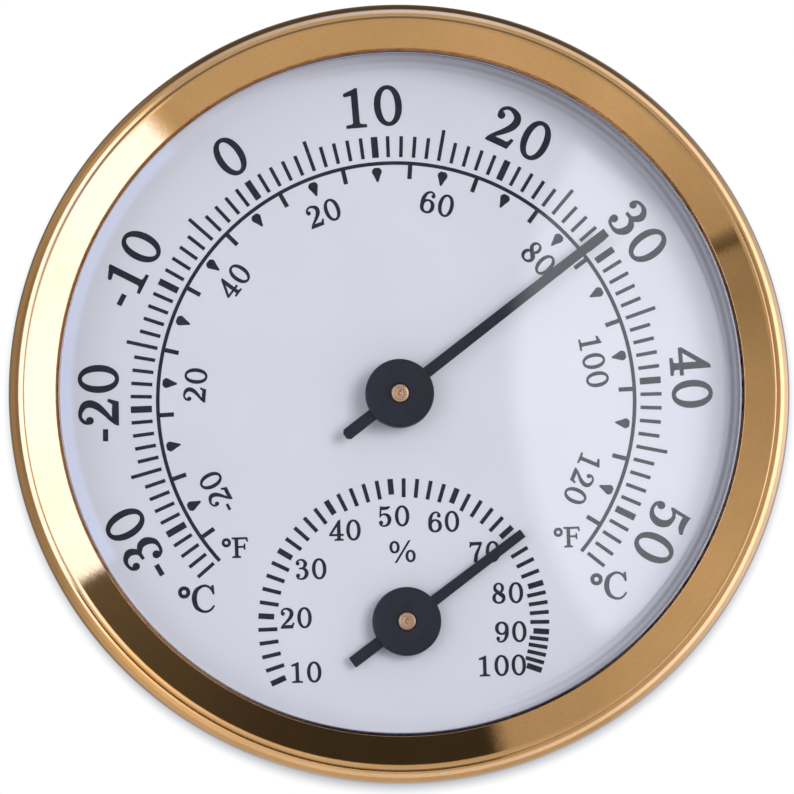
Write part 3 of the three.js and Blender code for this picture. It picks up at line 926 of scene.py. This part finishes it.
def humidity_print():
    """A tick for every 2 %, thick and shorter at the tens, with upright figures inside."""
    centre = (HUMIDITY_AXIS[0], HUMIDITY_AXIS[1] + 0.32)
    ticks = []
    for percent in range(10, 101, 2):
        inner, width = (11.65, 0.36) if percent % 10 else (11.95, 0.52)
        ticks.append([mark(humidity_angle(percent), inner, 13.4, width)])
    printed(ticks, "humidity_ticks", centre)
    offsets = {10: (0, -0.35), 40: (-0.1, 0.2), 60: (0, 0.15), 90: (-0.1, -0.2), 100: (-0.45, -0.65)}
    figures = []
    for percent in range(10, 101, 10):
        x, y = on_scale(9.95, humidity_angle(percent))
        dx, dy = offsets.get(percent, (0, 0))
        figures += text_shapes(str(percent), 1.85, x + dx, y + dy, 0)
    figures += text_shapes("%", 1.9, 0.1, 6.65, 0)
    printed(figures, "humidity_figures", centre)


# ---- rear case ----

SCREWS = [f"plate_screw_{number}" for number in range(1, 5)]
WALL = 1.6
CASE_RADIUS = 33
CASE_INNER = 31.2


def louvres(side):
    """The five slots of one bank, on the left (-1) or right (1)."""
    rows = [5.2 - 4.2 * row for row in range(5)]
    return [slot_outline(side * 10.4, y, side * 22.6, y, 0.9) for y in rows]


def rear_case():
    """A moulded cup in one piece: the back wall with its openings, the side wall, posts and boss."""
    solid = Solid()
    face_holes, openings = [], []
    sunk = 0.35  # depth of the sunk areas
    edge = 0.12

    def sink(border, holes, dents=()):
        """A sunk area with holes through the wall. Its dents are closed by surfaces of their own."""
        face_hole, floor = solid.step(border, 0, sunk, edge)
        face_holes.append(face_hole)
        holes = [turning(hole, False) for hole in holes]
        for hole in holes:
            solid.rim(hole, sunk, WALL, edge * 1.5)
        grown = [offset(hole, edge * 1.5) for hole in holes]
        openings.extend(grown)
        solid.cap([(floor, [*grown, *dents])], sunk)

    sink(round_cornered(7.9, -13.5, 25, 7.1, 2), louvres(1))
    sink(round_cornered(-25, -13.5, -7.9, 7.1, 2), louvres(-1))

    # The dish round the adjuster, with air holes and the marks that its slot is set against.
    vents = [circle(*about(HUMIDITY_AXIS, (6.6, 0), math.pi / 4 * (i + 0.5)), 0.9, 24) for i in range(8)]
    marks = []
    mark_depth = sunk + 0.2
    for degrees in range(-30, 31, 15):
        ends = [about(HUMIDITY_AXIS, (0, radius), math.radians(degrees)) for radius in (3.5, 4.7)]
        outline = slot_outline(*ends[0], *ends[1], 0.16, 6)
        mark_edge, mark_floor = solid.step(outline, sunk, mark_depth, 0.05)
        marks.append(mark_edge)
        solid.cap([(mark_floor, [])], mark_depth)
    sink(circle(*HUMIDITY_AXIS, 8.3, 72), vents + [circle(*HUMIDITY_AXIS, 2.62)], marks)

    keyhole = (0, 19, 6, 0)
    sink(keyhole_outline(*keyhole, 5.1, 3.3), [keyhole_outline(*keyhole, 3.6, 1.8)])

    # The stub that the moulding's runner leaves, in a small dimple.
    stub = [(0.8, sunk, 0), (0.6, sunk - 0.14, 0.08), (0, sunk - 0.18)]
    solid.turn(rounded(stub, 0.05), 32, closed=False)
    sink(circle(0, 0, 2.2, 40), [], [circle(0, 0, 0.8, 32)])

    groove = [(30.5, 0, 0), (30.35, 0), (30.3, 0.3, 0.15), (29.8, 0.3, 0.15), (29.75, 0), (29.6, 0, 0)]
    solid.turn(rounded(groove, 0.1), RING_SEGMENTS, closed=False)
    face_radius = 31.4
    solid.cap([(ring(face_radius), [ring(groove[0][0])])], 0)
    solid.cap([(ring(groove[-1][0]), face_holes)], 0)

    def post(radius, top, bore, bottom, centre):
        """A post on the back wall, with a fillet at its foot and a blind hole down its middle."""
        foot = radius + 0.4
        outline = [(foot, WALL, 0), (radius, WALL, 0.4), (radius, top, 0.2), (bore, top),
                   (bore, bottom, 0), (0, bottom)]
        solid.turn(rounded(outline, 0.1), 40, centre, closed=False)
        openings.append(circle(*centre, foot, 40))

    for screw in SCREWS:
        post(2.6, heights("movement_plate")[0] - 0.05, 1.07, 4.4, centre_of(screw))
    post(2.8, heights("temperature_collet")[0] - 0.3, 0.86, 2.3, TEMPERATURE_AXIS)
    floor_radius = CASE_INNER - 0.5
    solid.cap([(ring(floor_radius), openings)], WALL)

    shoulder = heights("bezel")[0] + 0.8
    corner = 1.6
    side = [
        (face_radius, 0, 0), *arc(CASE_RADIUS - corner, corner, corner, -90, 0, 10)[1:],
        (CASE_RADIUS, shoulder), (34.3, shoulder), (34.3, 17, 0.15), (33.3, 17), (33.3, 13.5),
        (CASE_INNER, 13.5, 0.15), (CASE_INNER, WALL, 0.5), (floor_radius, WALL, 0),
    ]
    solid.turn(rounded(side, 0.1), RING_SEGMENTS, closed=False)
    build(solid, "moulded_case", CASE, "rear_case")


# ---- movement ----


def movement_plate():
    """A stamped plate with ears at the four screws, two bush holes, a post hole and two windows."""
    node = "movement_plate"
    places = [centre_of(screw) for screw in SCREWS]
    points = [p for place in places for p in circle(*place, 3.6)]
    outline = [points[i] for i in convex_hull_2d(points)]
    holes = [circle(*place, 1.2, 32) for place in places]
    holes += [circle(*axis, 1.85, 40) for axis in (TEMPERATURE_AXIS, HUMIDITY_AXIS)]
    holes += [circle(*centre_of("temperature_coil_post"), 0.66, 24)]
    holes += [slot_outline(side * 13, 4, side * 10.5, -13, 2.2) for side in (-1, 1)]
    build(Solid().plate(outline, holes, *heights(node), 0.12), "stamped_plate", STEEL, node)


def plate_screw(node, turn):
    """A cheese-head thread-forming screw."""
    tip, top = heights(node)
    head, shank = 1.9, 1.0
    floor = top - 0.6
    seat = top - 1.2
    outline = [(head, floor, 0), (head, seat), (shank, seat)]
    pitch, turns = 0.45, 10
    for i in range(turns):
        z = seat - 0.9 - pitch * i
        outline += [(0.82, z, 0), (shank, z - pitch / 2, 0)]
    outline += [(0.5, tip), (0, tip)]
    solid = Solid().slotted_head(head, 0.25, floor, top, 0.07, rounded(outline, 0.1)[1:])
    name = node.replace("plate_screw", "cheese_head_screw")
    build(solid.place(turn, centre_of(node)), name, STEEL, node)


def bush(node, axis, material):
    back, front = heights(node)
    bore, flange = 0.877, back + 0.72
    outline = [(bore, back), (2.7, back, 0.15), (2.7, flange, 0.1), (1.8, flange), (1.8, front - 0.5, 0),
               (1.55, front, 0.1), (bore + 0.25, front, 0.05), (bore, front - 0.3, 0)]
    turned(outline, node, node.replace("bush", "front_bearing"), material, axis)


def collet(node, axis, material):
    """A grooved collar that grips the arbor and the coil's inner end."""
    back, front = heights(node)
    middle = (back + front) / 2
    bore, waist, lip, radius = 0.88, 1.75, 1.7, 2
    half = [(bore, front), (lip, front, 0.05), (radius, front - 0.3, 0.05), (radius, middle + 0.5),
            (waist, middle + 0.4)]
    mirrored = [(r, back + front - z, *own) for r, z, *own in half]
    turned(mirrored + half[::-1], node, node.replace("collet", "coil_collar"), material, axis)


def coil(node, name, material, axis, inner, outer, turns, start, thickness):
    """A strip on edge, wound in a flat spiral."""
    count = round(turns * 64)

    def wound(side):
        points = []
        for i in range(count + 1):
            radius = inner + (outer - inner) * i / count + side * thickness / 2
            points.append(rotated((radius, 0), math.radians(start + 360 * turns * i / count)))
        return points

    solid = Solid().plate(wound(1) + wound(-1)[::-1], [], *heights(node), 0.05)
    build(solid.place(0, axis), name, material, node)


def coil_post(node, name):
    back, front = heights(node)
    outline = [(0, back), (0.6, back, 0.12), (0.6, front, 0.15), (0, front)]
    turned(outline, node, name, STEEL, centre_of(node), 40)


def adjuster():
    """A slotted brass stud in the back wall, riveted to the arm that carries the coil's post."""
    node = "calibration_adjuster"
    back, front = heights(node)
    head, flange, neck, bore = 2.5, 3.6, 2, 0.87
    floor, flange_back, arm_back, arm_front = back + 0.7, 1.95, 2.5, 3.4
    outline = [(head, floor, 0), (head, flange_back - 0.25, 0), (head - 0.2, flange_back - 0.2, 0),
               (head - 0.2, flange_back, 0), (flange, flange_back, 0.12), (flange, arm_back, 0.05),
               (neck, arm_back, 0), (neck, front, 0.15), (bore, front, 0.1), (bore, arm_back, 0),
               (0, arm_back)]
    solid = Solid().slotted_head(head, 0.35, floor, back, 0.1, rounded(outline, 0.08)[1:])
    build(solid.place(0, HUMIDITY_AXIS), "adjuster_stud", BRASS_H, node)
    x, y = centre_of("humidity_coil_post")
    dx, dy = x - HUMIDITY_AXIS[0], y - HUMIDITY_AXIS[1]
    angle = math.degrees(math.atan2(dy, dx)) - 90
    arm = keyhole_outline(*HUMIDITY_AXIS, math.hypot(dx, dy), angle, 3.6, 1.3)
    holes = [circle(*HUMIDITY_AXIS, neck + 0.05, 40), circle(x, y, 0.66, 24)]
    build(Solid().plate(arm, holes, arm_back + 0.02, arm_front, 0.12), "adjuster_arm", STEEL, node)


def washer():
    node = "adjuster_washer"
    back, front = heights(node)
    outline = [(2.75, back), (3.5, back), (3.5, front), (2.75, front)]
    turned(outline, node, "friction_washer", STEEL, HUMIDITY_AXIS)


# ---- pointers and arbors ----


def pointer(node, name, axis, length, tail, chamfer):
    """A stamped blade with an eye, and the turned hub that it is pressed into."""
    back, front = heights(node)
    root, tail_half = 0.54, 0.56
    right = [(tail_half - chamfer, -tail), (tail_half, chamfer - tail), (tail_half, -0.01), (root, 0),
             (POINTER_TIP_HALF, length)]
    blade = right + [(-x, y) for x, y in reversed(right)]
    solid = Solid().plate(blade, [], back + 0.2, front - 0.75, 0.07)
    build(solid.place(rest_angle(node, axis), axis), name + "_blade", BLACK, node)
    bore, radius = 0.86, 3.17
    hub = [(bore, back, 0.05), (radius, back, 0.12), (radius, front, 0.22), (bore + 0.1, front, 0.08),
           (bore, front - 0.1, 0.05)]
    turned(hub, node, name + "_hub", BLACK, axis, 128, 0.1, 5)


def arbor(node, name, axis, material):
    """A brass staff with a cone at the back and a centre-drilled, burred front end."""
    back, front = heights(node)
    r = 0.82
    outline = [(0, back), (r * 0.5, back), (r, back + 0.45, 0.1), (r, front - 0.12),
               (r * 0.82, front, 0.1), (0.2, front - 0.01), (0.12, front - 0.16), (0, front - 0.2)]
    turned(outline, node, name, material, axis, 48, 0.05)


# ---- scene pieces ----

bezel()
lens()
plain_ring("lens_gasket", "gasket_ring", SEAL, 0.18, 32.1)
plain_ring("spacer_ring", "white_spacer", WHITE, 0.1, 31.9)
dial()
celsius_print()
fahrenheit_print()
humidity_print()
pointer("temperature_pointer", "temperature", TEMPERATURE_AXIS, 24.3, 6.4, 0.28)
pointer("humidity_pointer", "humidity", HUMIDITY_AXIS, 13.5, 6.3, 0.07)

rear_case()
movement_plate()
for index, screw in enumerate(SCREWS):
    plate_screw(screw, math.radians(25 * (index + 1)))
instruments = [("temperature", TEMPERATURE_AXIS, BRASS_T), ("humidity", HUMIDITY_AXIS, BRASS_H)]
for kind, axis, brass in instruments:
    arbor(kind + "_arbor", kind + "_staff_pin", axis, brass)
    bush(kind + "_bush", axis, brass)
    collet(kind + "_collet", axis, brass)
coil("temperature_coil", "bimetal_coil", BIMETAL, TEMPERATURE_AXIS, 2.5, 7.5, 4.5, 20, 0.45)
coil("humidity_coil", "humidity_strip_coil", STRIP, HUMIDITY_AXIS, 2.5, 7.3, 5.42, 0, 0.3)
coil_post("temperature_coil_post", "bimetal_coil_post")
coil_post("humidity_coil_post", "humidity_strip_post")
adjuster()
washer()

# ---- stage ----

STAGE_SIZE = 4.0
CAMERA_DISTANCE = 0.6
AZIMUTH, ELEVATION, ROLL = math.radians(-2.0), math.radians(-3.5), math.radians(-1.9)
TO_READER = Vector((math.sin(AZIMUTH) * math.cos(ELEVATION), -math.cos(AZIMUTH) * math.cos(ELEVATION),
                    math.sin(ELEVATION)))
BEAD_CENTRE = Vector((0, -WAIST * MM, 0))


def wall_light(s):
    """How much light the wall gets: the bezel's shadow, which is tighter where only its rim shows."""
    centre = BEAD_CENTRE - TO_READER * (BEAD_CENTRE.y / TO_READER.y) - Vector((0, 0, 0.5 * MM))
    x, y, _ = s.split(s.place())
    radius = s.length(x - centre.x, y - centre.z)
    tight = s.ramp(radius, 0, 1, BEZEL_RADIUS * MM, (BEZEL_RADIUS + 1.8) * MM, True)
    wide = s.ramp(radius, 0, 1, (BEZEL_RADIUS - 6) * MM, (BEZEL_RADIUS + 9) * MM, True)
    seen_from = s.node("NewGeometry", output="Incoming")
    agreement = s.node("VectorMath", "DOT_PRODUCT", "Value", i0=seen_from, i1=tuple(TO_READER))
    share = s.ramp(agreement, 0, 1, 0.97, 0.99)
    return share * tight + (1 - share) * wide


def floor_light(s):
    """How much light the floor gets: there is a soft oval shadow where the bezel stands on it."""
    half_width, half_depth, forward = 26 * MM, 12 * MM, 13 * MM
    x, y, _ = s.split(s.place())
    distance = s.length(x * (1 / half_width), (y + forward) * (1 / half_depth))
    return s.ramp(distance, 0.1, 1, 0, 1, True)


def one_sided(name, location, rotation, light):
    """A pale plane that only the camera sees, and only from its front, with a soft shadow."""
    half = STAGE_SIZE / 2
    mesh = bpy.data.meshes.new(name)
    corners = [(-half, -half, 0), (half, -half, 0), (half, half, 0), (-half, half, 0)]
    mesh.from_pydata(corners, [], [(0, 1, 2, 3)])
    plane = add_object(name, mesh)
    plane.location = location
    plane.rotation_euler = rotation
    plane.visible_shadow = False
    s = Shader(name)
    paper = s.ramp(s.noise(30, 2.0), 1.0, 1.02)
    tint = s.blend(light(s), (0.39, 0.41, 0.44), (1, 1, 1))
    seen = s.node("LightPath", output="Is Camera Ray") - s.node("NewGeometry", output="Backfacing")
    seen.socket.node.use_clamp = True
    s.surface(s.mix(seen, s.node("BsdfTransparent"), s.node("Emission", Color=tint, Strength=paper)))
    mesh.materials.append(s.material)


def softbox(name, direction, distance, size, power):
    """A square light in a direction from the dial, turned towards it. Mirrors don't show it."""
    light = bpy.data.lights.new(name, "AREA")
    light.energy = power
    light.shape = "SQUARE"
    light.size = size
    holder = add_object(name, light)
    towards = Vector(direction).normalized()
    holder.location = towards * distance
    holder.rotation_mode = "QUATERNION"
    holder.rotation_quaternion = (-towards).to_track_quat("-Z", "Y")
    holder.visible_glossy = False


def studio_world():
    """White to the camera, even light to matt surfaces, and a studio of cards to mirrors.

    The cards are laid out by the slope of the mirror that shows them to the reader: turn is where
    round the bezel the slope faces, in degrees from 3 o'clock, and tilt is how steep it is.
    """
    world = bpy.data.worlds.new("studio")
    bpy.context.scene.world = world
    world.use_nodes = True
    world.cycles.sampling_method = "NONE"
    world.node_tree.nodes.clear()
    n = Nodes(world.node_tree)
    ray = n.node("TexCoord", output="Generated")
    x, y, z = n.split(n.node("VectorMath", "ADD", i0=ray, i1=tuple(TO_READER)))
    ahead = y * -1
    tilt = n.math("DEGREES", n.math("ARCTAN2", n.length(x, z), ahead))
    turn = n.math("FRACT", n.math("ARCTAN2", z, x) / (2 * math.pi))

    def cards(*stops):
        """Brightness by turn. The last card runs on into the first."""
        made = n.node("ValToRGB", i0=turn)
        elements = made.socket.node.color_ramp.elements
        for degrees, _ in stops[1:]:
            elements.new(degrees / 360)
        for element, (_, value) in zip(elements, stops + stops[:1]):
            element.color = (*value, 1) if isinstance(value, tuple) else (value, value, value, 1)
        return made

    cream = (1.5, 2.1, 3.9)
    lit_side, lit_edge = (1.9, 2.15, 3.0), (1.0, 1.25, 1.9)
    blue, low_blue = (0.4, 0.47, 0.7), (0.5, 0.65, 1.1)
    face = cards((0, 0.41), (14, 0.31), (21, 0.3), (22.5, 0.1), (23.5, 0.12), (25, 0.42), (40, 0.55),
                 (60, 0.59), (90, 0.53), (128, 0.54), (130, 0.7), (132, cream), (208, cream),
                 (209.2, 0.2), (210, 0.12), (225, 0.085), (240, 0.055), (255, 0.04), (283.4, 0.04),
                 (283.8, 0.06), (284.3, 0.42), (300, 0.48), (328, 0.56), (345, 0.48))
    shoulder = cards((0, 0.45), (60, 0.5), (125, 0.52), (132, 1.4), (140, cream), (205, cream), (222, 1.3),
                     (240, 0.8), (270, 0.55), (330, 0.48))
    side = cards((0, lit_side), (30, (1.3, 1.45, 2.0)), (55, (0.8, 0.95, 1.5)), (90, (0.65, 0.95, 2.0)),
                 (120, (0.5, 0.6, 0.9)), (140, 0.5), (165, 0.26), (185, 0.24), (205, 0.4), (225, 0.75),
                 (270, (0.75, 0.85, 1.3)), (300, (0.9, 1.0, 1.5)), (325, (1.3, 1.5, 2.2)))
    edge = cards((0, lit_edge), (25, (0.5, 0.6, 0.85)), (50, 0.14), (75, 0.08), (120, 0.09), (135, 0.3),
                 (150, 0.4), (175, 0.3), (205, 0.35), (225, 0.6), (300, 0.5), (330, (0.8, 0.95, 1.4)))
    wall = cards((0, blue), (50, (0.3, 0.35, 0.5)), (80, 0.12), (180, 0.22), (215, 0.27), (250, low_blue),
                 (300, low_blue))
    # The large window that veils the right of the lens. Across and up are millimetres on the lens.
    per_mm = 1 / (2 * LENS_SAG / LENS_EDGE ** 2 + MM / (2 * CAMERA_DISTANCE))
    across = x / ahead * per_mm
    up = z / ahead * per_mm
    left_edge = n.ramp(across - up * up * 0.0135, 0, 1, 9.3, 11.5)
    top_edge = n.ramp(up + across * 0.876, 1, 0, 37, 38.5)
    low_edge = n.ramp(up - across * 0.3, 0, 1, -29, -27.5)
    colour = n.blend(left_edge * top_edge * low_edge, (0.12, 0.12, 0.13), (2.5, 2.55, 2.7))
    bands = ((face, 5.5, 8), (shoulder, 19, 22), (side, 27, 31), (edge, 40, 45), (wall, 62, 66))
    for band, start, end in bands:
        colour = n.blend(n.ramp(tilt, 0, 1, start, end), colour, band)
    even = n.blend(n.node("LightPath", output="Is Camera Ray"), (0.46, 0.46, 0.47), (1, 1, 1))
    shown = n.blend(n.node("LightPath", output="Is Glossy Ray"), even, colour)
    output = n.tree.nodes.new("ShaderNodeOutputWorld")
    n.feed(output.inputs["Surface"], n.node("Background", Color=shown))


def camera():
    """A long lens a little to the left of the axis and below it, slightly rolled."""
    image_width = 36.0
    object_share = 0.98388  # how much of the image's width the bezel fills
    data = bpy.data.cameras.new("camera")
    data.sensor_width = image_width
    data.lens = image_width * object_share * CAMERA_DISTANCE / (2 * BEZEL_RADIUS * MM)
    data.clip_start, data.clip_end = 0.01, 20
    holder = add_object("camera", data)
    turn = (-TO_READER).to_track_quat("-Z", "Y") @ Quaternion((0, 0, 1), ROLL)
    aside = turn @ Vector((-0.26 * MM, -0.35 * MM, 0))
    holder.location = BEAD_CENTRE + aside + TO_READER * CAMERA_DISTANCE
    holder.rotation_mode = "QUATERNION"
    holder.rotation_quaternion = turn
    bpy.context.scene.camera = holder


one_sided("backdrop", (0, 0.8 * MM, 0), (math.pi / 2, 0, 0), wall_light)
one_sided("floor", (0, 0, -(BEZEL_RADIUS + 0.2) * MM), (0, 0, 0), floor_light)
softbox("key", (0.38, -1, 0.12), 0.7, 0.26, 2.1)
softbox("fill", (-0.4, -1, 0.0), 0.9, 0.5, 1.35)
studio_world()
camera()
bpy.context.scene.view_settings.view_transform = "Standard"
